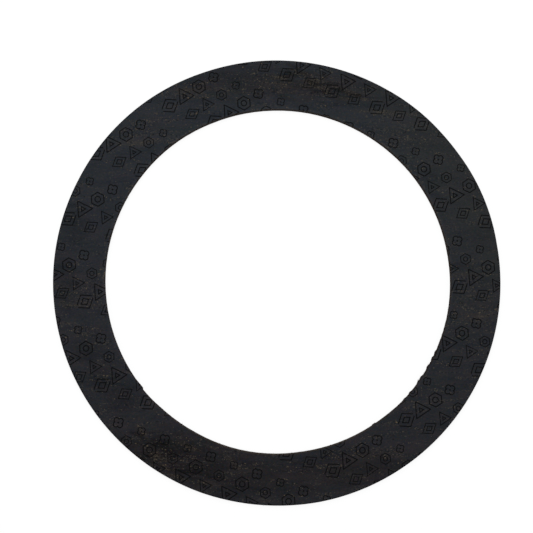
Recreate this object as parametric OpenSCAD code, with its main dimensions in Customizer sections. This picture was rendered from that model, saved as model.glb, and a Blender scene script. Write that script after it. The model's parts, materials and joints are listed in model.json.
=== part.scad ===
// Flat ring gasket, knife-cut from one sheet of compressed fibre.
// It lies on its lower face, with the bore axis along +Z and the origin at the
// centre of the lower face. Lengths are millimetres and angles are degrees,
// measured anticlockwise from +X.

/* [Ring] */
// Outside diameter of the ring
outer_d = 218; // [200:1:260]
// Diameter of the bore
bore_d = 168; // [130:1:180]
// Thickness of the sheet
sheet_t = 2; // [0.6:0.1:4]
// Radius that the knife rolls over on the two upper edges
edge_roll = 0.3; // [0.05:0.05:0.4]

/* [Stretch where the knife drifted] */
// Angle at the middle of the stretch where the cut ran outside the bore's line
drift_mid = -22; // [-40:1:10]
// Angle that the stretch covers
drift_span = 60; // [40:1:80]
// How far the cut ran outside the line at the middle
drift_depth = 0.2; // [0.1:0.05:0.6]

/* [Ragged edge] */
// Angle at the middle of the edge that the knife tore
ragged_mid = -28; // [-60:1:20]
// Angle that the torn edge covers
ragged_span = 40; // [16:1:60]
// Number of bites along the torn edge
bite_count = 19; // [8:1:32]
// Deepest bite, outward from the cut
bite_depth = 0.15; // [0.1:0.05:0.6]

/* [Torn tabs] */
// Angle at the middle of the tabs of torn fibre left standing
tab_mid = -34; // [-60:1:20]
// Number of tabs
tab_count = 7; // [1:1:9]
// Angle between two tabs
tab_pitch = 3.2; // [2:0.1:5]
// Longest tab, inward from the bore
tab_l = 0.35; // [0.1:0.05:0.4]
// Width of a tab at its root
tab_w = 3.4; // [1:0.1:4]
// Angle of the one tab that stands by itself
lone_tab_angle = -57; // [-75:1:-45]
// Length of the lone tab, inward from the bore
lone_tab_l = 0.3; // [0.1:0.05:0.4]
// Width of the lone tab at its root
lone_tab_w = 5; // [1:0.1:6]

/* [Step where the cut closes] */
// Angle of the step
step_angle = -141; // [-170:1:-100]
// Height of the lip on one side of the step, inward from the bore
lip_h = 0.3; // [0.1:0.05:0.4]
// Length over which the lip runs out into the bore
lip_run = 6; // [4:0.5:14]
// Depth of the overcut on the other side of the step
overcut_depth = 0.25; // [0.05:0.05:0.5]
// Length over which the overcut runs out into the bore
overcut_run = 12; // [3:0.5:16]

/* [Hidden] */
$fn = 180;

outer_r = outer_d / 2;
bore_r = bore_d / 2;
ring_w = outer_r - bore_r;
// Straight part of the cut walls, under the rolled edges
wall_h = sheet_t - edge_roll;
// How far a cutter stands past the faces that it cuts
cut_margin = 1;
// How far added fibre is rooted in the ring
root_depth = drift_depth + bite_depth + edge_roll;
// Width of a tab's blunt tip, as a share of its root
tip_share = 0.3;
// Angle between two points of the torn cut's outline
cut_step = 0.5;
// Depth of the nick where the drift starts and ends, as a share of its depth
nick_share = 0.1;
// Step between two terms of the scatter, which never repeats itself
scatter_step = 137.5;

// Even scatter from -1 to 1, for the uneven size and spacing of torn fibre
function scatter(i, start) = sin(scatter_step * i + start);

// Rise to 1 at the middle of a stretch, from its share along the stretch
function swell(along) = 0.3 + 0.7 * sin(180 * along);

// Point at a radius and an angle
function polar(r, a) = [r * cos(a), r * sin(a)];

// Angle of a length along the bore
function bore_angle(l) = l / bore_r * 180 / PI;

// Height of the bore's own arc over a chord
function bore_sagitta(chord) = bore_r - sqrt(bore_r * bore_r - chord * chord / 4);

// Radius of an arc from its chord and its height
function arc_r(chord, height) = (chord * chord / 4 + height * height) / (2 * height);

// Section of the ring: square below, with its two upper corners rolled over
module ring_section() {
    square([ring_w, wall_h]);
    translate([edge_roll, 0]) square([ring_w - 2 * edge_roll, sheet_t]);
    for (x = [edge_roll, ring_w - edge_roll]) translate([x, wall_h]) circle(edge_roll);
}

// Round cutter that hollows the bore's edge over a width, down to a depth
module hollow_cutter(width, depth) {
    r = arc_r(width, depth + bore_sagitta(width));
    translate([bore_r + depth - r, 0, -cut_margin]) cylinder(r = r, h = sheet_t + 2 * cut_margin);
}

// How far the cut drifts outside the bore's line at an angle
function drift(angle) =
    drift_depth * max(nick_share, 1 - pow((angle - drift_mid) / (drift_span / 2), 2));

// How far a bite goes beyond the drift at an angle: deepest near the middle of the torn edge
function bite(angle) =
    let (along = (angle - ragged_mid) / ragged_span + 0.5, i = floor(along * bite_count))
    along < 0 || along > 1 ? 0
    : bite_depth * swell(along) * (0.7 + 0.3 * scatter(i, 40)) * abs(sin(180 * bite_count * along));

// What the knife took outside the bore's line, with the bites that it tore out
module torn_cut() {
    first = min(drift_mid - drift_span / 2, ragged_mid - ragged_span / 2);
    last = max(drift_mid + drift_span / 2, ragged_mid + ragged_span / 2);
    translate([0, 0, -cut_margin]) linear_extrude(sheet_t + 2 * cut_margin) polygon([
        polar(bore_r - cut_margin, last),
        polar(bore_r - cut_margin, first),
        for (angle = [first : cut_step : last]) polar(bore_r + drift(angle) + bite(angle), angle),
    ]);
}

// Tab of torn fibre that points into the bore, and leans with the knife's travel
module torn_tab(angle, length, width) {
    half_root = bore_angle(width / 2);
    half_tip = half_root * tip_share;
    tip = angle + half_root / 4;
    linear_extrude(wall_h) polygon([
        polar(bore_r - length, tip - half_tip),
        polar(bore_r - length, tip + half_tip),
        polar(bore_r + root_depth, angle + half_root),
        polar(bore_r + root_depth, angle - half_root),
    ]);
}

// The row of tabs in the torn edge, longest at its middle, and the one that stands by itself
module torn_tabs() {
    for (i = [0 : tab_count - 1]) {
        angle = tab_mid + tab_pitch * (i - (tab_count - 1) / 2 + 0.25 * scatter(i, 190));
        torn_tab(angle, tab_l * pow(swell((i + 0.5) / tab_count), 2), tab_w);
    }
    torn_tab(lone_tab_angle, lone_tab_l, lone_tab_w);
}

// Lip left standing where the end of the cut missed its start
module closing_lip() {
    tail = step_angle - bore_angle(lip_run);
    linear_extrude(wall_h) polygon([
        polar(bore_r - lip_h, step_angle),
        polar(bore_r + root_depth, step_angle),
        polar(bore_r + root_depth, (step_angle + tail) / 2),
        polar(bore_r, tail),
    ]);
}

// Overcut beside the lip: half of a hollow, with its deep end at the step
module closing_overcut() {
    rotate(step_angle) intersection() {
        hollow_cutter(2 * overcut_run, overcut_depth);
        translate([bore_r - overcut_run, 0, -cut_margin])
            cube([2 * overcut_run, 2 * overcut_run, sheet_t + 2 * cut_margin]);
    }
}

module gasket_ring() {
    color("#26282b") {
        difference() {
            rotate_extrude() translate([bore_r, 0]) ring_section();
            torn_cut();
            closing_overcut();
        }
        torn_tabs();
        closing_lip();
    }
}

gasket_ring();
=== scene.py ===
# %% [markdown]
# # A flat ring gasket in Blender
# The gasket is one ring, knife-cut from a sheet of compressed fibre. The sheet is slate grey,
# with tan fibres in it and a black print on its upper face. The CAD model already has the true
# sizes, so it is loaded first, and everything here is built around it in the same frame.

# %% Load the CAD frame
import json
import math
import random

import bpy
from mathutils import Matrix, Vector, noise


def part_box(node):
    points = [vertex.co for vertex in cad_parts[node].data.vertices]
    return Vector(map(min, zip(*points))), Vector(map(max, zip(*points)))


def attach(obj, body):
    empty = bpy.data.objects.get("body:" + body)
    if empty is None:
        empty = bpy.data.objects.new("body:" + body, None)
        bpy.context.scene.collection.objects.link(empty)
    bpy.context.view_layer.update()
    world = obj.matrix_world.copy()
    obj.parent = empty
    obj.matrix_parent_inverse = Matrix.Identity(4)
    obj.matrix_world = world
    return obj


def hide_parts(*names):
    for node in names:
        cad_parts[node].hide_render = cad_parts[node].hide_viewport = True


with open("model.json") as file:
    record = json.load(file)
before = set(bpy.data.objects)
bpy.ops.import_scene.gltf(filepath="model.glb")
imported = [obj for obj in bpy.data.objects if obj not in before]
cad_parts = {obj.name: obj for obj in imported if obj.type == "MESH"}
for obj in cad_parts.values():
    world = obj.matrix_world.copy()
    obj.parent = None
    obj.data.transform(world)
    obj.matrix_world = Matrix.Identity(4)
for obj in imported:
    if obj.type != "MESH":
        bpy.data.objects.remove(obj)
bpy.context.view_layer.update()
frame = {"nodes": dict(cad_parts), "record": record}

MM = 0.001
cad_ring = frame["nodes"]["gasket_ring"]
mounts = {mount["name"]: mount for mount in frame["record"]["mounts"]}
bore_r = mounts["bore"]["dims"]["r_mm"] * MM
outer_r = mounts["rim"]["dims"]["r_mm"] * MM
sheet_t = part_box("gasket_ring")[1].z
wall_h = mounts["bore"]["dims"]["length_mm"] * MM
print(f"bore {bore_r / MM:.1f} mm, outside {outer_r / MM:.1f} mm radius, sheet {sheet_t / MM:.2f} mm")

# %% [markdown]
# ## Selecting in code
# Edit-mode operators act on whatever is selected. By hand one clicks; in a script one asks where
# each edge or point lies. These helpers make one piece active, open it for editing, and pick its
# edges or its points by their place.

# %% Helpers for editing
def choose(piece):
    """Selects one piece alone and makes it active."""
    bpy.ops.object.select_all(action="DESELECT")
    piece.select_set(True)
    bpy.context.view_layer.objects.active = piece


def edit_alone(piece):
    """Opens one piece in edit mode with nothing selected."""
    choose(piece)
    bpy.ops.object.mode_set(mode="EDIT")
    bpy.ops.mesh.select_mode(type="VERT")
    bpy.ops.mesh.select_all(action="DESELECT")


def pick_edges(piece, wanted):
    """Selects the edges whose two ends pass the test."""
    bpy.ops.mesh.select_mode(type="EDGE")
    bpy.ops.mesh.select_all(action="DESELECT")
    bpy.ops.object.mode_set(mode="OBJECT")
    vertices = piece.data.vertices
    for edge in piece.data.edges:
        a, b = (vertices[i].co for i in edge.vertices)
        edge.select = wanted(a, b)
    bpy.ops.object.mode_set(mode="EDIT")


def pick_vertices(piece, wanted):
    """Selects the vertices whose place passes the test."""
    bpy.ops.mesh.select_mode(type="VERT")
    bpy.ops.mesh.select_all(action="DESELECT")
    bpy.ops.object.mode_set(mode="OBJECT")
    for vertex in piece.data.vertices:
        vertex.select = wanted(vertex.co)
    bpy.ops.object.mode_set(mode="EDIT")


def bearing(place):
    """Angle of a place round the bore, in degrees from +X."""
    return math.degrees(math.atan2(place.y, place.x))


print("helpers for editing are ready")

# %% [markdown]
# ## The ring's section
# Cut through anywhere, the ring is a flat strip: 25 mm wide and 2 mm thick. The knife came from
# above and rolled the two upper edges over, while the lower edges stayed nearly sharp. A plane is
# stood on edge from the bore to the rim, its corners are bevelled, and its sides are divided, because
# the ring needs fine faces later where the edge is torn.

# %% Draw the section
ring_w = outer_r - bore_r
edge_roll = sheet_t - wall_h
lower_burr = 0.08 * MM
near = 0.001 * MM
upper_cuts, lower_cuts, wall_cuts = 38, 14, 5

bpy.ops.object.select_all(action="DESELECT")
bpy.ops.mesh.primitive_plane_add(
    size=1, location=((bore_r + outer_r) / 2, 0, sheet_t / 2), rotation=(math.pi / 2, 0, 0))
ring = bpy.context.object
ring.name = ring.data.name = "fibre_ring"
ring.scale = (ring_w, sheet_t, 1)
bpy.ops.object.transform_apply(location=True, rotation=True, scale=True)

edit_alone(ring)
pick_vertices(ring, lambda p: p.z > sheet_t / 2)
bpy.ops.mesh.bevel(offset=edge_roll, segments=4, affect="VERTICES")
pick_vertices(ring, lambda p: p.z < sheet_t / 4)
bpy.ops.mesh.bevel(offset=lower_burr, segments=1, affect="VERTICES")

divided_sides = (
    (upper_cuts, lambda a, b: min(a.z, b.z) > sheet_t - near),
    (lower_cuts, lambda a, b: max(a.z, b.z) < near),
    (wall_cuts, lambda a, b: max(a.x, b.x) < bore_r + near),
    (wall_cuts, lambda a, b: min(a.x, b.x) > outer_r - near),
)
for cuts, side in divided_sides:
    pick_edges(ring, side)
    bpy.ops.mesh.subdivide(number_cuts=cuts)
bpy.ops.mesh.select_all(action="SELECT")
bpy.ops.mesh.delete(type="ONLY_FACE")
bpy.ops.object.mode_set(mode="OBJECT")
print(f"section of {len(ring.data.vertices)} points")

# %% [markdown]
# ## Turning the section round
# Spin would do it in one go, but it slows down as the mesh grows. A Screw modifier with no rise
# turns a profile like a lathe, at once and in even steps. Its two ends meet, so doubles are merged
# and the normals are turned outwards. Then only the edges that run round the torn stretch, and
# those at the step where the knife met its own start, are subdivided, so the fine faces are where
# the shape is fine.

# %% Turn the ring and divide its fine stretches
turn_steps = 480
merge_gap = 0.002 * MM
least_turn = 0.05
fine_stretches = ((-61, 9, 4), (-150, -131, 3))


def runs_round(a, b, first, last):
    """Whether an edge runs round the ring, between two bearings."""
    return first < bearing((a + b) / 2) < last and abs(bearing(a) - bearing(b)) > least_turn


choose(ring)
bpy.ops.object.modifier_add(type="SCREW")
lathe = ring.modifiers[-1]
lathe.axis = "Z"
lathe.angle = 2 * math.pi
lathe.screw_offset = 0
lathe.steps = lathe.render_steps = turn_steps
bpy.ops.object.modifier_apply(modifier=lathe.name)

edit_alone(ring)
bpy.ops.mesh.select_all(action="SELECT")
bpy.ops.mesh.remove_doubles(threshold=merge_gap)
bpy.ops.mesh.normals_make_consistent(inside=False)
for first, last, cuts in fine_stretches:
    pick_edges(ring, lambda a, b: runs_round(a, b, first, last))
    bpy.ops.mesh.subdivide(number_cuts=cuts)
bpy.ops.object.mode_set(mode="OBJECT")
print(f"ring of {len(ring.data.polygons)} faces and {len(ring.data.vertices)} points")

# %% [markdown]
# ## Fitting the cut edges
# On the real ring the bore isn't a true circle: the knife drifted, tore the fibre and missed its
# start. The CAD model has those bites, tabs and the step. Shrinkwrap would pull only the wall and
# leave the rolled edge hanging over it. So each direction is measured by rays from the centre, and
# the wall, the roll and a little of each face move together. Where the fibre is torn, a few rays
# side by side are averaged, which softens the corners of the tabs. Shallow swells, where the knife
# strayed by a fifth of a millimetre, and a fine noise of nibbles are added to it.

# %% Measure the cut
ray_z = sheet_t * 0.4
off_centre = 0.19 * MM
torn_middle, torn_half = -28, 16
fray_turn = math.radians(0.36)
frayed_share = 0.65
wander_h = 0.06 * MM
nibble_h, torn_nibble_h = 0.015 * MM, 0.035 * MM
bore_swells = ((-7, 26, 0.15), (-43, 22, 0.14), (-101, 36, 0.27), (127, 30, 0.2))
rim_swells = ((131, 42, 0.28), (51, 18, 0.15), (22, 26, 0.28), (-95, 30, -0.16))
bore_offset = {}


def strayed(angle, swells):
    """How far the knife strayed outwards at an angle. A swell has a middle, a span and a height."""
    total = 0
    for middle, span, height in swells:
        total += height * max(0, 1 - ((angle - middle) / (span / 2)) ** 2) * MM
    return total


def cad_offset(angle):
    """How far the CAD model's cut is from the true circle at an angle."""
    hit, point, _, _ = cad_ring.ray_cast((0, 0, ray_z), (math.cos(angle), math.sin(angle), 0))
    return math.hypot(point.x, point.y) - bore_r if hit else 0


def frayed_offset(angle):
    """The same where the fibre is torn: tabs with soft corners, which stand in a little less."""
    around = [cad_offset(angle + turn * fray_turn) for turn in (-1, -0.5, 0, 0.5, 1)]
    middle = sum(around) / len(around)
    return middle if middle > 0 else middle * frayed_share


def offset_at(angle):
    """How far the bore is from the true circle: the CAD model's cut, with swells and nibbles."""
    key = round(math.degrees(angle), 3)
    if key not in bore_offset:
        tear = math.exp(-((key - torn_middle) / torn_half) ** 2)
        cad = cad_offset(angle) * (1 - tear) + frayed_offset(angle) * tear
        nibble = noise.noise(Vector((key * 2.4, 3.1, 0))) + 0.6 * noise.noise(Vector((key * 5.1, 7.7, 0)))
        wander = noise.noise(Vector((math.cos(angle) * 3, math.sin(angle) * 3, 5)))
        small = off_centre * math.cos(angle) + wander_h * wander + (nibble_h + torn_nibble_h * tear) * nibble
        bore_offset[key] = cad + strayed(key, bore_swells) + small
    return bore_offset[key]


print(f"the knife strayed by up to {max(swell[2] for swell in bore_swells + rim_swells)} mm")

# %% Move both edges
fade_w = 3 * MM

for vertex in ring.data.vertices:
    radius = vertex.co.to_2d().length
    angle = math.atan2(vertex.co.y, vertex.co.x)
    past_bore = max(0, (radius - bore_r) / fade_w)
    short_of_rim = max(0, (outer_r - radius) / fade_w)
    moved = radius
    if past_bore < 1:
        moved += offset_at(angle) * (1 - past_bore) ** 2
    if short_of_rim < 1:
        moved += strayed(math.degrees(angle), rim_swells) * (1 - short_of_rim) ** 2
    vertex.co.x = moved * math.cos(angle)
    vertex.co.y = moved * math.sin(angle)
print(f"bore moved from {min(bore_offset.values()) / MM:.2f} to {max(bore_offset.values()) / MM:.2f} mm")

# %% [markdown]
# ## Torn fibres
# The knife leaves short fibres standing out of the cut: many where it tore the sheet, few elsewhere.
# Hair curves could make them, but here a handful of modelled ones is lighter and stays a plain mesh.
# One fibre is a thin rod with five sides, divided along its length, drawn to a point and curled by a
# Simple Deform modifier.

# %% Model one fibre
fibre_l = 1.0 * MM
fibre_r = 0.04 * MM
tip_share = 0.3
fibre_curl = math.radians(75)

bpy.ops.object.select_all(action="DESELECT")
bpy.ops.mesh.primitive_cylinder_add(vertices=5, radius=fibre_r, depth=fibre_l, location=(0, 0, fibre_l / 2))
first_fibre = bpy.context.object
bpy.ops.object.transform_apply(location=True, rotation=True, scale=True)
edit_alone(first_fibre)
pick_edges(first_fibre, lambda a, b: abs(a.z - b.z) > fibre_l / 2)
bpy.ops.mesh.subdivide(number_cuts=4)
pick_vertices(first_fibre, lambda p: p.z > fibre_l * 0.9)
bpy.ops.transform.resize(value=(tip_share, tip_share, 1))
bpy.ops.object.mode_set(mode="OBJECT")
bpy.ops.object.modifier_add(type="SIMPLE_DEFORM")
curl = first_fibre.modifiers[-1]
curl.deform_method = "BEND"
curl.deform_axis = "X"
curl.angle = fibre_curl
bpy.ops.object.modifier_apply(modifier=curl.name)
print(f"one fibre of {len(first_fibre.data.polygons)} faces")

# %% [markdown]
# The copies are rooted a little inside the wall and lean the way the knife went. Each run says which
# edge it is on, the bearings it lies between, how many fibres it has and how long they are. Tufts are
# short runs. A fibre that would reach past a face of the sheet is lifted or lowered to stay between.

# %% Root the copies along the cuts
draw = random.Random(11)
root_depth = 0.12 * MM
floor_gap = 0.1 * MM
root_heights = (0.25, 0.85)
lean_along, lean_up = (-0.6, 1.6), (-0.25, 0.45)
thickness_range, length_range = (0.7, 1.5), (0.4, 0.85)
fibre_runs = (
    ("bore", -22.3, -21.0, 6, 0.6),
    ("bore", -31.0, -29.4, 10, 0.5),
    ("bore", -34.4, -33.4, 16, 0.6),
    ("bore", -36.0, -35.2, 20, 0.8),
    ("bore", -52, -6, 60, 0.8),
    ("bore", -180, 180, 60, 0.8),
    ("rim", -180, 180, 24, 0.8),
)


def fibre_stand(edge, angle, longer):
    """Where one fibre stands: rooted in the wall, pointing out of it and along the cut."""
    outward = Vector((math.cos(angle), math.sin(angle), 0))
    along_cut = Vector((-math.sin(angle), math.cos(angle), 0))
    if edge == "bore":
        root = outward * (bore_r + offset_at(angle) + root_depth)
        free = -outward
    else:
        root = outward * (outer_r + strayed(math.degrees(angle), rim_swells) - root_depth)
        free = outward
    root.z = sheet_t * draw.uniform(*root_heights)
    points = free + along_cut * draw.uniform(*lean_along) + Vector((0, 0, draw.uniform(*lean_up)))
    aimed = points.to_track_quat("Z", "Y").to_matrix().to_4x4()
    turned = aimed @ Matrix.Rotation(draw.uniform(0, math.tau), 4, "Z")
    thick = draw.uniform(*thickness_range)
    size = Matrix.Diagonal((thick, thick, draw.uniform(*length_range) * longer, 1))
    stand = Matrix.Translation(root) @ turned @ size
    heights = [(stand @ vertex.co).z for vertex in first_fibre.data.vertices]
    lift = max(0, floor_gap - min(heights)) - max(0, max(heights) - sheet_t)
    return Matrix.Translation((0, 0, lift)) @ stand


fibres = [first_fibre]
for edge, first, last, count, longer in fibre_runs:
    for _ in range(count):
        choose(first_fibre)
        bpy.ops.object.duplicate()
        copy = bpy.context.object
        angle = math.radians(draw.uniform(first, last))
        copy.matrix_world = fibre_stand(edge, angle, longer)
        fibres.append(copy)
first_fibre.matrix_world = fibre_stand("bore", math.radians(-33), 1.0)
bpy.ops.object.select_all(action="DESELECT")
for one in fibres:
    one.select_set(True)
bpy.context.view_layer.objects.active = first_fibre
bpy.ops.object.transform_apply(location=True, rotation=True, scale=True)
bpy.ops.object.join()
torn_fibres = bpy.context.object
torn_fibres.name = torn_fibres.data.name = "torn_fibres"
bpy.ops.object.shade_smooth_by_angle(angle=math.radians(50))
print(f"{len(fibres)} fibres, {len(torn_fibres.data.polygons)} faces")

# %% [markdown]
# ## Writing patterns as sums
# A pattern on the sheet is a formula of the place: so far along the grain, so far from an edge.
# Each step of a formula is one Math node. Placing them by hand is slow to read, so a small class
# lets a script write `a * 2 + b` and get the nodes.

# %% A field over the surface
class Field:
    """A number that changes over the surface. Arithmetic on fields makes Math nodes."""

    def __init__(self, tree, socket):
        self.tree = tree
        self.socket = socket

    def maths(self, operation, *terms):
        node = self.tree.nodes.new("ShaderNodeMath")
        node.operation = operation
        for slot, term in zip(node.inputs, terms):
            plug(self.tree, term, slot)
        return Field(self.tree, node.outputs[0])

    def __add__(self, other):
        return self.maths("ADD", self, other)

    def __sub__(self, other):
        return self.maths("SUBTRACT", self, other)

    def __rsub__(self, other):
        return self.maths("SUBTRACT", other, self)

    def __mul__(self, other):
        return self.maths("MULTIPLY", self, other)

    def __truediv__(self, other):
        return self.maths("DIVIDE", self, other)

    def __mod__(self, other):
        return self.maths("FLOORED_MODULO", self, other)

    def __abs__(self):
        return self.maths("ABSOLUTE", self)

    __radd__, __rmul__ = __add__, __mul__

    def floor(self):
        return self.maths("FLOOR", self)

    def at_least(self, other):
        return self.maths("MAXIMUM", self, other)

    def at_most(self, other):
        return self.maths("MINIMUM", self, other)

    def below(self, other):
        return self.maths("LESS_THAN", self, other)

    def equals(self, other):
        return self.maths("COMPARE", self, other, 0.1)

    def ramp(self, zero_at, one_at):
        """Rises smoothly from 0 to 1 between two values."""
        node = self.tree.nodes.new("ShaderNodeMapRange")
        node.interpolation_type = "SMOOTHSTEP"
        for slot, term in zip(node.inputs, (self, zero_at, one_at)):
            plug(self.tree, term, slot)
        return Field(self.tree, node.outputs[0])


def plug(tree, term, slot):
    """Links a field to a socket, or sets the socket to a plain value."""
    if isinstance(term, Field):
        tree.links.new(term.socket, slot)
    else:
        slot.default_value = term


print("fields are ready")

# %% [markdown]
# Fields also need colours, places and node groups. Colours are written as the 0 to 255 numbers that
# a colour picker shows, and turned into the linear values that Blender stores.

# %% Colours, places and groups
def colour(red, green, blue):
    """A colour picker's numbers as Blender's linear colour."""
    linear = []
    for share in (red / 255, green / 255, blue / 255):
        linear.append(share / 12.92 if share <= 0.04045 else ((share + 0.055) / 1.055) ** 2.4)
    return (*linear, 1)


def mixed(tree, share, first, second, blend="MIX"):
    """One colour over another, by a share from 0 to 1."""
    node = tree.nodes.new("ShaderNodeMix")
    node.data_type = "RGBA"
    node.blend_type = blend
    for slot, term in zip((node.inputs[0], node.inputs[6], node.inputs[7]), (share, first, second)):
        plug(tree, term, slot)
    return Field(tree, node.outputs[2])


def joined(tree, x, y, z):
    """Three numbers as one place."""
    node = tree.nodes.new("ShaderNodeCombineXYZ")
    for slot, term in zip(node.inputs, (x, y, z)):
        plug(tree, term, slot)
    return Field(tree, node.outputs[0])


def split(tree, place):
    """One place as three numbers."""
    node = tree.nodes.new("ShaderNodeSeparateXYZ")
    plug(tree, place, node.inputs[0])
    return [Field(tree, socket) for socket in node.outputs]


def length_of(x, y):
    """Length of a side-and-height pair."""
    return x.maths("SQRT", x * x + y * y)


def new_group(name, inputs, outputs):
    """An empty node group: returns it, its inputs by name and a way to set its outputs."""
    group = bpy.data.node_groups.new(name, "ShaderNodeTree")
    for title, kind in inputs.items():
        group.interface.new_socket(name=title, in_out="INPUT", socket_type=kind)
    for title in outputs:
        group.interface.new_socket(name=title, in_out="OUTPUT", socket_type="NodeSocketFloat")
    entry = group.nodes.new("NodeGroupInput")
    leave = group.nodes.new("NodeGroupOutput")
    given = {title: Field(group, entry.outputs[title]) for title in inputs}
    return group, given, lambda title, field: plug(group, field, leave.inputs[title])


def placed(tree, group, **values):
    """Places a group in a material, sets its inputs and returns its outputs by name."""
    node = tree.nodes.new("ShaderNodeGroup")
    node.node_tree = group
    for title, value in values.items():
        plug(tree, value, node.inputs[title.replace("_", " ")])
    return {socket.name: Field(tree, socket) for socket in node.outputs}


NUMBER, PLACE = "NodeSocketFloat", "NodeSocketVector"
print("helpers for node trees are ready")

# %% [markdown]
# ## The sheet's grain
# Compressed fibre sheet is rolled: the rubber and fibre are pulled along one direction, so every
# mark on it is long and thin. On this ring the grain runs across the picture, nearly straight, and
# draws together a little at the two sides. Each pattern below measures its place along and across
# that grain, in millimetres, so one function gives both numbers to every group.

# %% Places along and across the grain
to_mm = 1000
grain_bow = 400.0


def grain_place(tree, place):
    """Millimetres along and across the grain."""
    x, y, _ = split(tree, place)
    along = x * to_mm
    bow = along / grain_bow
    return along, y * to_mm * (bow * bow + 1)


def streaks(tree, along, across, length, width, layer, detail=2.0, rough=0.5):
    """Noise stretched along the grain, about 0.5 on average."""
    node = tree.nodes.new("ShaderNodeTexNoise")
    node.inputs["Scale"].default_value = 1
    node.inputs["Detail"].default_value = detail
    node.inputs["Roughness"].default_value = rough
    plug(tree, joined(tree, along / length, across / width, layer), node.inputs["Vector"])
    return Field(tree, node.outputs["Fac"])


print("the grain draws together with a bow of", grain_bow, "mm")

# %% [markdown]
# ## Groups for the sheet
# Both faces and the cut wall are the same sheet, so its effects are node groups, each built once.
# "Rolled grain" gives the light and dark of the rolled rubber at five sizes, on a grain that a
# broad noise sways. "Tan fibres" scatters specks of fibre: a Voronoi texture gives each cell one
# speck, and a cell shows its speck only where its own random number is below the amount asked for.

# %% Build the grain and fibre groups
grain_sizes = (
    ("Bands", 45, 7, 0, 0.55),
    ("Blotches", 8, 4.5, 7, 0.55),
    ("Streaks", 9, 1.2, 11, 0.6),
    ("Threads", 15, 1.7, 17, 0.55),
    ("Grain", 1.25, 0.85, 23, 0.7),
)
sway_size, sway_h = 26, 9

rolled_grain, given, put = new_group(
    "Rolled grain", {"Place": PLACE, "Layer": NUMBER}, [size[0] for size in grain_sizes])
along, across = grain_place(rolled_grain, given["Place"])
layer = given["Layer"]
sway = streaks(rolled_grain, along, across, sway_size, sway_size, layer + 3, 3, 0.6) - 0.5
across = across + sway * sway_h
for name, length, width, level, rough in grain_sizes:
    put(name, streaks(rolled_grain, along, across, length, width, layer + level, 3, rough))

cell_stretch, speck_sway = 1.5, 0.8
least_reach, reach_spread, solid_share = 0.2, 0.3, 0.55
tan_fibres, given, put = new_group(
    "Tan fibres", {"Place": PLACE, "Amount": NUMBER, "Cell": NUMBER, "Layer": NUMBER}, ("Mask", "Tone"))
along, across = grain_place(tan_fibres, given["Place"])
layer = given["Layer"]
cell = given["Cell"]
beside = along + (streaks(tan_fibres, along, across, speck_sway, speck_sway, layer + 5) - 0.5)
above = across + (streaks(tan_fibres, along, across, speck_sway, speck_sway, layer + 9) - 0.5)
cells = tan_fibres.nodes.new("ShaderNodeTexVoronoi")
cells.inputs["Scale"].default_value = 1
cell_place = joined(tan_fibres, beside / (cell * cell_stretch), above / cell, layer)
plug(tan_fibres, cell_place, cells.inputs["Vector"])
chance, breadth, tone = split(tan_fibres, Field(tan_fibres, cells.outputs["Color"]))
reach = breadth * reach_spread + least_reach
speck = Field(tan_fibres, cells.outputs["Distance"]).ramp(reach, reach * solid_share)
put("Mask", speck * chance.below(given["Amount"]))
put("Tone", tone)
print("groups:", ", ".join(group.name for group in bpy.data.node_groups))

# %% [markdown]
# "Smear" is one long soft patch with a frayed outline. Patches could be painted by hand, but a list
# of places is easier to read and to change. They stand for the places where fibre gathered, where it
# lies in chains, where the rubber was drawn into furrows, and where it ran darker or browner.

# %% Build the smear group
fray_l, fray_w, fray_h = 7, 2.2, 1.8

smear_inputs = ("Along", "Across", "Half length", "Half width", "Fray")
smear, given, put = new_group("Smear", dict.fromkeys(smear_inputs, NUMBER), ("Mask",))
away = length_of(given["Along"] / given["Half length"], given["Across"] / given["Half width"])
put("Mask", (away + given["Fray"]).ramp(1.4, 0.2))


def smears(tree, place, patches):
    """Adds up soft patches: x, y, half length and half width in millimetres, and for some a slope."""
    along, across = grain_place(tree, place)
    fray = (streaks(tree, along, across, fray_l, fray_w, 2.0, 3, 0.6) - 0.5) * fray_h
    total = 0
    for x, y, half_length, half_width, *slope in patches:
        beside = along - x
        above = across - y * (1 + (x / grain_bow) ** 2)
        if slope:
            above = above - beside * slope[0]
        patch = placed(tree, smear, Along=beside, Across=above, Half_length=half_length,
                       Half_width=half_width, Fray=fray)
        total = total + patch["Mask"]
    return total.at_most(1)


print("a smear takes", ", ".join(smear_inputs))

# %% [markdown]
# ## The print
# The upper face carries a black print of outlined shapes in slanted rows, a bold row and a light
# row by turns. A print could be an image, but a formula stays sharp at any distance. The place is
# turned to the rows and cut into cells, and each cell measures its distance from the lines of one
# shape: a nut, a lozenge, a clover or a triangle. Every fifth cell is bare.

# %% Build the print
row_turn = math.radians(34)
row_pitch, cell_w, row_shift = 9.6, 8.6, 24.1
line_w, light_scale, light_line = 0.52, 0.78, 0.8
nut_r, hole_r, lozenge_r, triangle_r = 3.0, 1.35, 2.2, 1.5
lobe_r, lobe_out, band_w = 1.25, 1.35, 1.7
side_x, side_y = 0.866, 0.5
lozenge_x, lozenge_y = 0.6, 0.8
motif_count = 5


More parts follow.
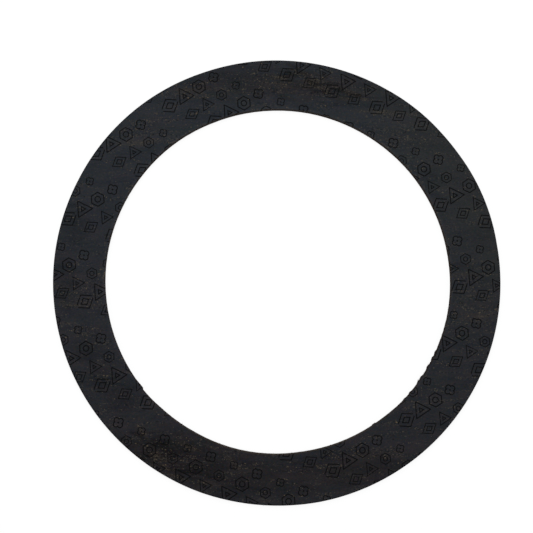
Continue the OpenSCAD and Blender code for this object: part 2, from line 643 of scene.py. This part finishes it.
def print_edge(tree, place):
    """Millimetres to the edge of the nearest printed line, less than zero inside it."""
    x, y, _ = split(tree, place)
    along = x * (to_mm * math.cos(row_turn)) + y * (to_mm * math.sin(row_turn))
    up = y * (to_mm * math.cos(row_turn)) - x * (to_mm * math.sin(row_turn))
    row = (up / row_pitch).floor()
    along = along + row * row_shift
    column = (along / cell_w).floor()
    light = row % 2
    scale = 1 - light * (1 - light_scale)
    px = abs(along - (column + 0.5) * cell_w) / scale
    rise = (up - (row + 0.5) * row_pitch) / scale
    py = abs(rise)
    nut = abs((px * side_x + py * side_y).at_least(py) - nut_r).at_most(abs(length_of(px, py) - hole_r))
    lozenge = abs(abs((px * lozenge_x + py * lozenge_y) - lozenge_r) - band_w / 2)
    clover = abs(length_of(px - lobe_out, py).at_most(length_of(px, py - lobe_out)) - lobe_r)
    triangle = abs(abs((px * side_x + rise * side_y).at_least(0 - rise) - triangle_r) - band_w / 2)
    motifs = (nut, lozenge, clover, triangle)
    motif = (column * 2 + row) % motif_count
    distance = motif.equals(len(motifs)) * cell_w
    for number, shape in enumerate(motifs):
        distance = distance + motif.equals(number) * shape
    return distance * scale - (1 - light * (1 - light_line)) * (line_w / 2)


print("print rows", row_pitch, "mm apart, cells", cell_w, "mm wide")

# %% [markdown]
# ## Finishes
# The printed face, the plain underside, the cut wall and the loose fibres each have a finish. Every
# finish ends in one Principled BSDF: a matte sheet, with its roughness and a fine bump from the
# same grain that colours it.

# %% Helpers for finishes
sheen = 0.05


def new_finish(name):
    """A material with a plain matte shader. Returns it, its tree and its shader."""
    material = bpy.data.materials.new(name)
    material.use_nodes = True
    tree = material.node_tree
    shader = tree.nodes["Principled BSDF"]
    shader.inputs["Specular IOR Level"].default_value = sheen
    return material, tree, shader


def object_place(tree):
    """The place on the piece, in metres."""
    return Field(tree, tree.nodes.new("ShaderNodeTexCoord").outputs["Object"])


def painted(tree, name):
    """A number stored on the mesh."""
    node = tree.nodes.new("ShaderNodeAttribute")
    node.attribute_name = name
    return Field(tree, node.outputs["Fac"])


def bumped(tree, shader, height, depth_mm):
    """A fine relief from a height between 0 and 1."""
    node = tree.nodes.new("ShaderNodeBump")
    node.inputs["Distance"].default_value = depth_mm * MM
    plug(tree, height, node.inputs["Height"])
    tree.links.new(node.outputs["Normal"], shader.inputs["Normal"])


print("helpers for finishes are ready")

# %% [markdown]
# ## The colour of the sheet
# The sheet is a slate that goes from cool blue to warm grey. The grain makes it lighter and darker,
# two fine noises give it a mossy and a rusty cast, and dark specks of painted shadow and tan specks lie
# on top. It is also painted darker and warmer towards the near side, as shade. The patches put the large
# marks where the real ring has them. The underside can't be seen, so it has fewer.

# %% Where the sheet isn't even
printed_patches = {
    "rich": ((8, 97, 30, 6), (56, 70, 20, 6), (96, -14, 11, 18), (-95, -5, 12, 10), (-64, 74, 16, 7),
             (-42, 92, 14, 5), (-54, -86, 20, 5), (42, -84, 20, 4), (-92, -25, 8, 3)),
    "chain": ((91, 2.6, 9, 1.3), (-95, -12.5, 11, 1.4), (-44, 94, 10, 1.3), (52, 83, 15, 1.6),
              (-70, 67, 10, 1.5), (99, -18, 7, 1.3), (11, 102.7, 5, 1.2, -0.22), (2, 100.3, 6, 1.1, -0.15),
              (18, 98.4, 4.4, 1.1), (20.4, 95.4, 7, 1.1), (3, 96.2, 6, 1.1, -0.2), (36.8, 92.8, 5, 1.4, -0.3),
              (33.5, 89.5, 4, 1.1), (43, 89.4, 4, 1, -0.1), (-49.8, -94.8, 7, 1.4, -0.15),
              (-57.4, -85.2, 8, 1.7, -0.38), (-64.2, -74.6, 3.4, 1.9, -1.2), (-43.4, -80.4, 6, 1.3, -0.45),
              (-54, -90.2, 4, 1.3, -0.5), (-33.4, -98, 5, 1.2, -0.15), (-21.4, -88.6, 5, 2, -0.8)),
    "furrow": ((15.4, 99, 4, 1.2, -0.7), (22, 97, 6, 1), (22, 93.2, 7, 1.3, -0.05), (40, 91, 6, 1.1, -0.08),
               (30.6, 94, 4, 1.2, -0.2), (10.8, 104, 5, 1.6, -0.5), (-48.4, -92, 9, 1.2, -0.06),
               (-31.8, -95, 8, 1.3, -0.16), (-55.6, -80.6, 7, 2.2, -0.36), (-67.5, -75, 4, 1.4, -0.35)),
    "dark": ((8, 101, 10, 3), (23, 96, 12, 3.4), (36, 91, 8, 2.4), (-54, -82, 22, 6), (-40, -92, 14, 4),
             (-92, -34, 8, 8), (-84, -47, 9, 8), (-74, -59, 9, 8), (-103, 0, 6, 16), (-98, 26, 7, 11),
             (89, 6.4, 8, 2)),
    "brown": ((24, 95, 32, 9), (-20, 98, 34, 10), (-14, -96, 46, 10), (-50, -84, 36, 14), (40, -92, 28, 9)),
}
plain_patches = {
    "rich": ((-30, 88, 26, 6), (70, -62, 20, 6), (-92, 12, 12, 4), (88, 38, 14, 5)),
    "chain": ((-28, 90, 18, 1.5), (72, -60, 12, 1.5)),
    "furrow": ((-24, 88, 8, 0.9, 0.2), (66, -64, 6, 0.8)),
    "dark": ((40, 90, 18, 4), (-70, -66, 14, 5)),
    "brown": ((0, 96, 40, 9), (-80, -55, 24, 12)),
}
for title, patches in (("printed", printed_patches), ("plain", plain_patches)):
    print(title, "face:", {name: len(group) for name, group in patches.items()}, "patches")

# %% Colour the sheet
cool_slate, warm_slate, dusty_slate = colour(35.6, 39, 44), colour(39.4, 37, 38.6), colour(41, 41, 38.5)
# The near-black is the colour of the painted shadow specks.
fibre_bed, fleck_shadow_black = colour(54, 47, 38), colour(14, 13, 14)
dull_tan, bright_tan = colour(60, 57, 51), colour(95, 83, 64)
warm_weights = {"Bands": 1.25, "Blotches": 1.05, "Streaks": 1.6, "Grain": 2.9}
light_weights = {"Bands": 0.62, "Blotches": 0.5, "Streaks": 0.25}
furrow_depth = 0.36


def weighted(grain, weights):
    """Adds up the grain's outputs, each about zero on average and times its weight."""
    return sum((grain[name] - 0.5) * weight for name, weight in weights.items())


def sheet_slate(tree, along, across, grain, soft, painted_near_shade):
    """The slate: cool blue, warmer in streaks and in patches, and warmer on the near side as part of a
    painted shade.
    """
    warm = weighted(grain, warm_weights) + painted_near_shade * 0.36 + soft["brown"] * 0.36 + soft["rich"] * 0.22 + 0.11
    slate = mixed(tree, warm.at_most(1).at_least(0), cool_slate, warm_slate)
    far_corner = (along * 0.87 + across * 0.5).ramp(72, 106)
    return mixed(tree, far_corner * 0.4, slate, dusty_slate)


def sheet_light(grain, soft, painted_near_shade, gathered):
    """How light the sheet is, about 1 on average. Its grain is stronger where fibre gathers; patches darken
    it, and a painted shade darkens it towards the near side.
    """
    fine = (grain["Grain"] - 0.5) * (gathered * 1.4 + 1.0)
    patches_and_painted_shade = soft["brown"] * 0.2 + soft["dark"] * 0.2 + painted_near_shade * 0.16
    return (1 + weighted(grain, light_weights) + fine - patches_and_painted_shade) * (1 - soft["furrow"] * furrow_depth)


def sheet_cast(tree, along, across, layer, light):
    """The same light for red, green and blue, each a little apart: mossy or rusty."""
    mossy = (streaks(tree, along, across, 0.9, 0.6, layer + 37, 3, 0.6) - 0.5) * 0.6
    mossy = mossy + (streaks(tree, along, across, 14, 6, layer + 41) - 0.5) * 0.1
    mossy = mossy + ((along * 0.5 + across * 0.87).ramp(-100, 100) - 0.5) * 0.012
    rusty = (streaks(tree, along, across, 1.3, 0.8, layer + 43, 3, 0.6) - 0.5) * 0.8
    return joined(tree, light - mossy + rusty, light + mossy, light - mossy - rusty)


def tan_specks(tree, place, layer, amount, chain):
    """Large and small specks of fibre. Returns their mask and their colour."""
    many = amount * 0.3 + chain * 0.2
    large = placed(tree, tan_fibres, Place=place, Amount=many, Cell=0.95, Layer=layer + 31)
    small = placed(tree, tan_fibres, Place=place, Amount=amount * 2.2, Cell=0.6, Layer=layer + 47)
    bright = large["Tone"] * small["Tone"]
    mask = (large["Mask"] * 0.85).at_least(small["Mask"] * 0.75)
    return mask, mixed(tree, bright * bright, dull_tan, bright_tan)


def sheet_colour(tree, place, layer, patches):
    """The rolled sheet with its tan fibres. Returns its colour, height, fibre mask and grain."""
    grain = placed(tree, rolled_grain, Place=place, Layer=layer)
    soft = {name: smears(tree, place, group) for name, group in patches.items()}
    along, across = grain_place(tree, place)
    # Painted shade: the sheet is made darker and warmer towards the near side.
    painted_near_shade = across.ramp(90, -110)
    gathered = (grain["Threads"] - 0.5 + soft["rich"] * 0.13).ramp(0.03, 0.13)
    slate = sheet_slate(tree, along, across, grain, soft, painted_near_shade)
    light = sheet_light(grain, soft, painted_near_shade, gathered)
    tinted = mixed(tree, 1.0, slate, sheet_cast(tree, along, across, layer, light), "MULTIPLY")
    bedded = mixed(tree, soft["chain"] * 0.2, tinted, fibre_bed)
    amount = gathered * (soft["rich"] * 0.3 + 0.85) + soft["chain"] * 0.5 + 0.04
    # Painted shadow: near-black specks stand for the shade around the fibre ends.
    fleck_shadow = placed(tree, tan_fibres, Place=place, Amount=amount * 0.5, Cell=1.0, Layer=layer + 53)
    shaded = mixed(tree, fleck_shadow["Mask"] * 0.6, bedded, fleck_shadow_black)
    fibre, tan = tan_specks(tree, place, layer, amount, soft["chain"])
    height = grain["Streaks"] * 0.5 + grain["Grain"] * 0.5 + fibre * 0.4
    return mixed(tree, fibre, shaded, tan), height, fibre, grain


print("the sheet's colour takes", ", ".join(printed_patches), "patches")

# %% [markdown]
# ## The printed face
# The ink lies over the sheet, a little uneven at its edges and worn in places. Along the bore the
# knife laid bare the brown inside of the sheet, more so where it tore, and the face is lighter in a band
# beside it. The brown line is partly painted light and shade: lighter on the near side, stronger towards
# the far side and darker where torn, as if the cut wall were in shadow. Along the rim a painted shade
# darkens the rolled edge. Radius alone would miss the torn edge, so the distances from both cuts are read
# from the mesh, where a later step stores them.

# %% Printed upper face
ink_black, shaded_rim = colour(4, 4, 5), colour(14, 13, 14)
bared_brown, lit_brown, torn_brown_and_shadow = colour(41, 32, 25), colour(62, 53, 42), colour(20, 14, 10)


def ink_mask(tree, place, fibre):
    """How much ink covers the sheet."""
    along, across = grain_place(tree, place)
    uneven = (streaks(tree, along, across, 0.7, 0.7, 61.0) - 0.5) * 0.22
    ink = (print_edge(tree, place) + uneven).ramp(0.05, -0.05)
    worn = streaks(tree, along, across, 9, 4, 71.0, 3).ramp(0.30, 0.48) * 0.12 + 0.88
    return ink * worn * (1 - fibre * 0.3)


def cut_edges(tree, place, face):
    """A face's colour with the brown that the knife laid bare along the bore, partly painted light and shade,
    a lighter band beside it, and a painted shade along the rim.
    """
    x, y, _ = split(tree, place)
    torn = painted(tree, "torn")
    from_bore = painted(tree, "bore_mm")
    # Painted light and shade: the brown edge is lighter on the near side, stronger towards the far side and
    # darker where torn.
    near_side = (y * to_mm).ramp(-50, -78) * (1 - torn)
    far_side = (x * 500 + y * 870).ramp(-70, 70)
    bared_with_painted_light_and_shade = mixed(tree, near_side, bared_brown, lit_brown)
    bared_with_painted_light_and_shade = mixed(tree, torn * 0.6, bared_with_painted_light_and_shade, torn_brown_and_shadow)
    strength = torn * 0.2 + far_side * 0.35 + near_side * 0.15 + 0.4
    edge = from_bore.ramp(torn * 0.4 + near_side * 0.2 + 0.85, 0.1) * strength
    # The face is made lighter in a band beside the bore, except on the near side.
    lighter_band = from_bore.ramp(1.9, 0.7) * (1 - near_side) * 0.22 + 1
    lightened = mixed(tree, 1.0, face, joined(tree, lighter_band, lighter_band, lighter_band), "MULTIPLY")
    # Painted shade: the rolled rim is darkened to near-black.
    rim_shade = painted(tree, "rim_mm").ramp(0.7, 0.1) * 0.8
    return mixed(tree, rim_shade, mixed(tree, edge, lightened, bared_with_painted_light_and_shade), shaded_rim)


printed_face, tree, shader = new_finish("printed_face")
place = object_place(tree)
sheet, height, fibre, grain = sheet_colour(tree, place, 0.0, printed_patches)
ink = ink_mask(tree, place, fibre)
inked = mixed(tree, ink, sheet, ink_black)
plug(tree, cut_edges(tree, place, inked), shader.inputs["Base Color"])
plug(tree, 0.86 - ink * 0.16 - grain["Bands"] * 0.12, shader.inputs["Roughness"])
bumped(tree, shader, height + ink * 0.15, 0.03)
print(printed_face.name, "has", len(tree.nodes), "nodes")

# %% [markdown]
# ## The underside and the cut wall
# The underside is the same sheet on another layer of noise, with no print and a brown line along both
# cuts. The wall shows the inside of the sheet: thin plies one over another, pulled by the knife, with
# cut ends of fibre in them.

# %% Plain underside
plain_face, tree, shader = new_finish("plain_face")
place = object_place(tree)
sheet, height, fibre, grain = sheet_colour(tree, place, 90.0, plain_patches)
cut_edge = painted(tree, "bore_mm").at_most(painted(tree, "rim_mm")).ramp(0.6, 0.1) * 0.5
plug(tree, mixed(tree, cut_edge, sheet, colour(30, 25, 22)), shader.inputs["Base Color"])
plug(tree, 0.9 - grain["Bands"] * 0.12, shader.inputs["Roughness"])
bumped(tree, shader, height, 0.03)
print(plain_face.name, "has", len(tree.nodes), "nodes")

# %% Cut wall
cut_wall, tree, shader = new_finish("cut_wall")
place = object_place(tree)
x, y, z = split(tree, place)
plies = streaks(tree, (x + y) * to_mm, z * to_mm, 3.5, 0.16, 5.0, 3, 0.6)
pulled = streaks(tree, (x - y) * to_mm, z * to_mm, 0.35, 1.1, 9.0, 3, 0.6)
specks = placed(tree, tan_fibres, Place=place, Amount=0.45, Cell=0.5, Layer=z * 1800)
body = mixed(tree, (plies - 0.2) * 1.4, colour(15, 12, 10), colour(37, 28, 22))
body = mixed(tree, specks["Mask"] * 0.5, body, colour(72, 57, 42))
plug(tree, body, shader.inputs["Base Color"])
plug(tree, 0.8 + plies * 0.2, shader.inputs["Roughness"])
bumped(tree, shader, plies * 0.6 + pulled * 0.4, 0.08)
print(cut_wall.name, "has", len(tree.nodes), "nodes")

# %% [markdown]
# ## Dressing the ring
# Each face takes its finish from the way it points. The distances from the bore's edge and from the
# rim, and how torn the edge is there, are stored on the points, because neither edge is a true circle
# and a formula of the radius would miss it.

# %% Give the ring its finishes
steep = 0.35
bared_middle, bared_half = -30, 15

for material in (printed_face, plain_face, cut_wall):
    ring.data.materials.append(material)


def finish_number(face):
    """Which finish a face takes: 0 is printed, 1 is plain and 2 is the cut wall."""
    if face.normal.z > steep:
        return 0
    return 1 if face.normal.z < -steep else 2


def torn_share(angle):
    """How torn the bore's edge is at an angle: patches of it, about one stretch."""
    patchy = 0.75 + 0.9 * noise.noise(Vector((angle * 0.9, 1.3, 0)))
    return min(1, max(0, math.exp(-((angle - bared_middle) / bared_half) ** 2) * patchy))


for face in ring.data.polygons:
    face.material_index = finish_number(face)
for name in ("bore_mm", "torn", "rim_mm"):
    ring.data.attributes.new(name, "FLOAT", "POINT")
stored = ring.data.attributes
for vertex in ring.data.vertices:
    radius = vertex.co.to_2d().length
    angle = bearing(vertex.co)
    bore_here = bore_r + offset_at(math.atan2(vertex.co.y, vertex.co.x))
    rim_here = outer_r + strayed(angle, rim_swells)
    stored["bore_mm"].data[vertex.index].value = (radius - bore_here) / MM
    stored["torn"].data[vertex.index].value = torn_share(angle)
    stored["rim_mm"].data[vertex.index].value = (rim_here - radius) / MM

choose(ring)
bpy.ops.object.shade_smooth_by_angle(angle=math.radians(40))
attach(ring, "root")
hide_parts("gasket_ring")
finish_faces = [sum(face.material_index == i for face in ring.data.polygons) for i in range(3)]
print("ring dressed:", finish_faces, "faces per finish")

# %% [markdown]
# The fibres are the same brown as the inside of the sheet, lighter or darker from place to place.

# %% Give the fibres their finish
loose_fibre, tree, shader = new_finish("loose_fibre")
x, y, z = split(tree, object_place(tree))
shade = streaks(tree, (x + y) * to_mm, z * to_mm, 0.7, 0.5, 3.0, 3, 0.6).ramp(0.3, 0.7)
plug(tree, mixed(tree, shade, colour(14, 9, 7), colour(66, 45, 30)), shader.inputs["Base Color"])
plug(tree, 0.95 - shade * 0.2, shader.inputs["Roughness"])
bumped(tree, shader, shade, 0.01)
torn_fibres.data.materials.append(loose_fibre)
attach(torn_fibres, "root")
print(loose_fibre.name, "has", len(tree.nodes), "nodes")

# %% [markdown]
# ## Floor, light and camera
# The ring lies on a plain white floor. A brighter lamp would whiten the floor but wash out the dark
# sheet. So, for the camera and for mirrored or clear rays, most of the floor's white is its own glow,
# and the rest is lit, which keeps a soft shadow.

# %% Lay the floor
floor_size = 30
floor_drop = 0.05 * MM
floor_grey = (0.9, 0.9, 0.9, 1)
glow_strength, glow_share = 1.015, 0.9

bpy.ops.object.select_all(action="DESELECT")
bpy.ops.mesh.primitive_plane_add(size=floor_size, location=(0, 0, -floor_drop))
floor = bpy.context.object
floor.name = "floor"
floor_finish = bpy.data.materials.new("white_floor")
floor_finish.use_nodes = True
tree = floor_finish.node_tree
tree.nodes.clear()
matte = tree.nodes.new("ShaderNodeBsdfDiffuse")
matte.inputs["Color"].default_value = floor_grey
glow = tree.nodes.new("ShaderNodeEmission")
glow.inputs["Strength"].default_value = glow_strength
rays = tree.nodes.new("ShaderNodeLightPath")
seen = Field(tree, rays.outputs["Is Camera Ray"])
for kind in ("Is Glossy Ray", "Is Transmission Ray"):
    seen = seen.at_least(Field(tree, rays.outputs[kind]))
both = tree.nodes.new("ShaderNodeMixShader")
plug(tree, seen * glow_share, both.inputs[0])
tree.links.new(matte.outputs[0], both.inputs[1])
tree.links.new(glow.outputs[0], both.inputs[2])
tree.links.new(both.outputs[0], tree.nodes.new("ShaderNodeOutputMaterial").inputs[0])
floor.data.materials.append(floor_finish)
print("floor laid")

# %% [markdown]
# One large lamp behind the ring and two at its sides are soft and plain, and a white world fills the
# rest. Small lamps would put hard shadows under so thin a sheet.

# %% Set the lamps
lamp_size = 0.9
lamps = (
    ("lamp_behind", (-0.15, 0.75, 0.95), 9.0, (0.96, 0.98, 1.0)),
    ("lamp_left", (-1.1, -0.2, 0.9), 5.0, (1.0, 1.0, 1.0)),
    ("lamp_right", (1.1, -0.1, 0.9), 5.0, (1.0, 0.99, 0.98)),
)
world_strength = 0.4


def soft_lamp(name, place, watts, tint):
    """A square soft lamp that points at the ring."""
    lamp = bpy.data.lights.new(name, "AREA")
    lamp.energy = watts
    lamp.size = lamp_size
    lamp.color = tint
    stand = bpy.data.objects.new(name, lamp)
    stand.location = place
    stand.rotation_euler = (-Vector(place)).to_track_quat("-Z", "Y").to_euler()
    bpy.context.scene.collection.objects.link(stand)


for lamp in lamps:
    soft_lamp(*lamp)
world = bpy.data.worlds.new("studio")
bpy.context.scene.world = world
world.use_nodes = True
sky = world.node_tree.nodes["Background"]
sky.inputs["Color"].default_value = (1, 1, 1, 1)
sky.inputs["Strength"].default_value = world_strength
print(len(lamps), "lamps set")

# %% [markdown]
# The photograph was taken from almost straight above, a little from the near side and the left.
# The camera's distance and lens come from how the far half of the ring looks narrower than the
# near half.

# %% Place the camera
camera_distance = 0.6
lens_mm, sensor_mm = 82.97, 36
lean_near, lean_left = math.radians(5.583), math.radians(1.593)
slide_x, slide_y = -0.0211, 0.0246

level = math.cos(lean_near)
back = Vector((-math.sin(lean_left) * level, -math.sin(lean_near), math.cos(lean_left) * level))
right = (Vector((1, 0, 0)) - back * back.x).normalized()
up = back.cross(right)
camera_data = bpy.data.cameras.new("camera")
camera_data.lens = lens_mm
camera_data.sensor_width = sensor_mm
camera_data.shift_x = slide_x
camera_data.shift_y = slide_y
camera = bpy.data.objects.new("camera", camera_data)
turned = Matrix((right, up, back)).transposed().to_4x4()
camera.matrix_world = Matrix.Translation(back * camera_distance) @ turned
bpy.context.scene.collection.objects.link(camera)
bpy.context.scene.camera = camera
bpy.context.scene.view_settings.view_transform = "Standard"
print(f"camera {camera_distance} m away, {lens_mm} mm lens")
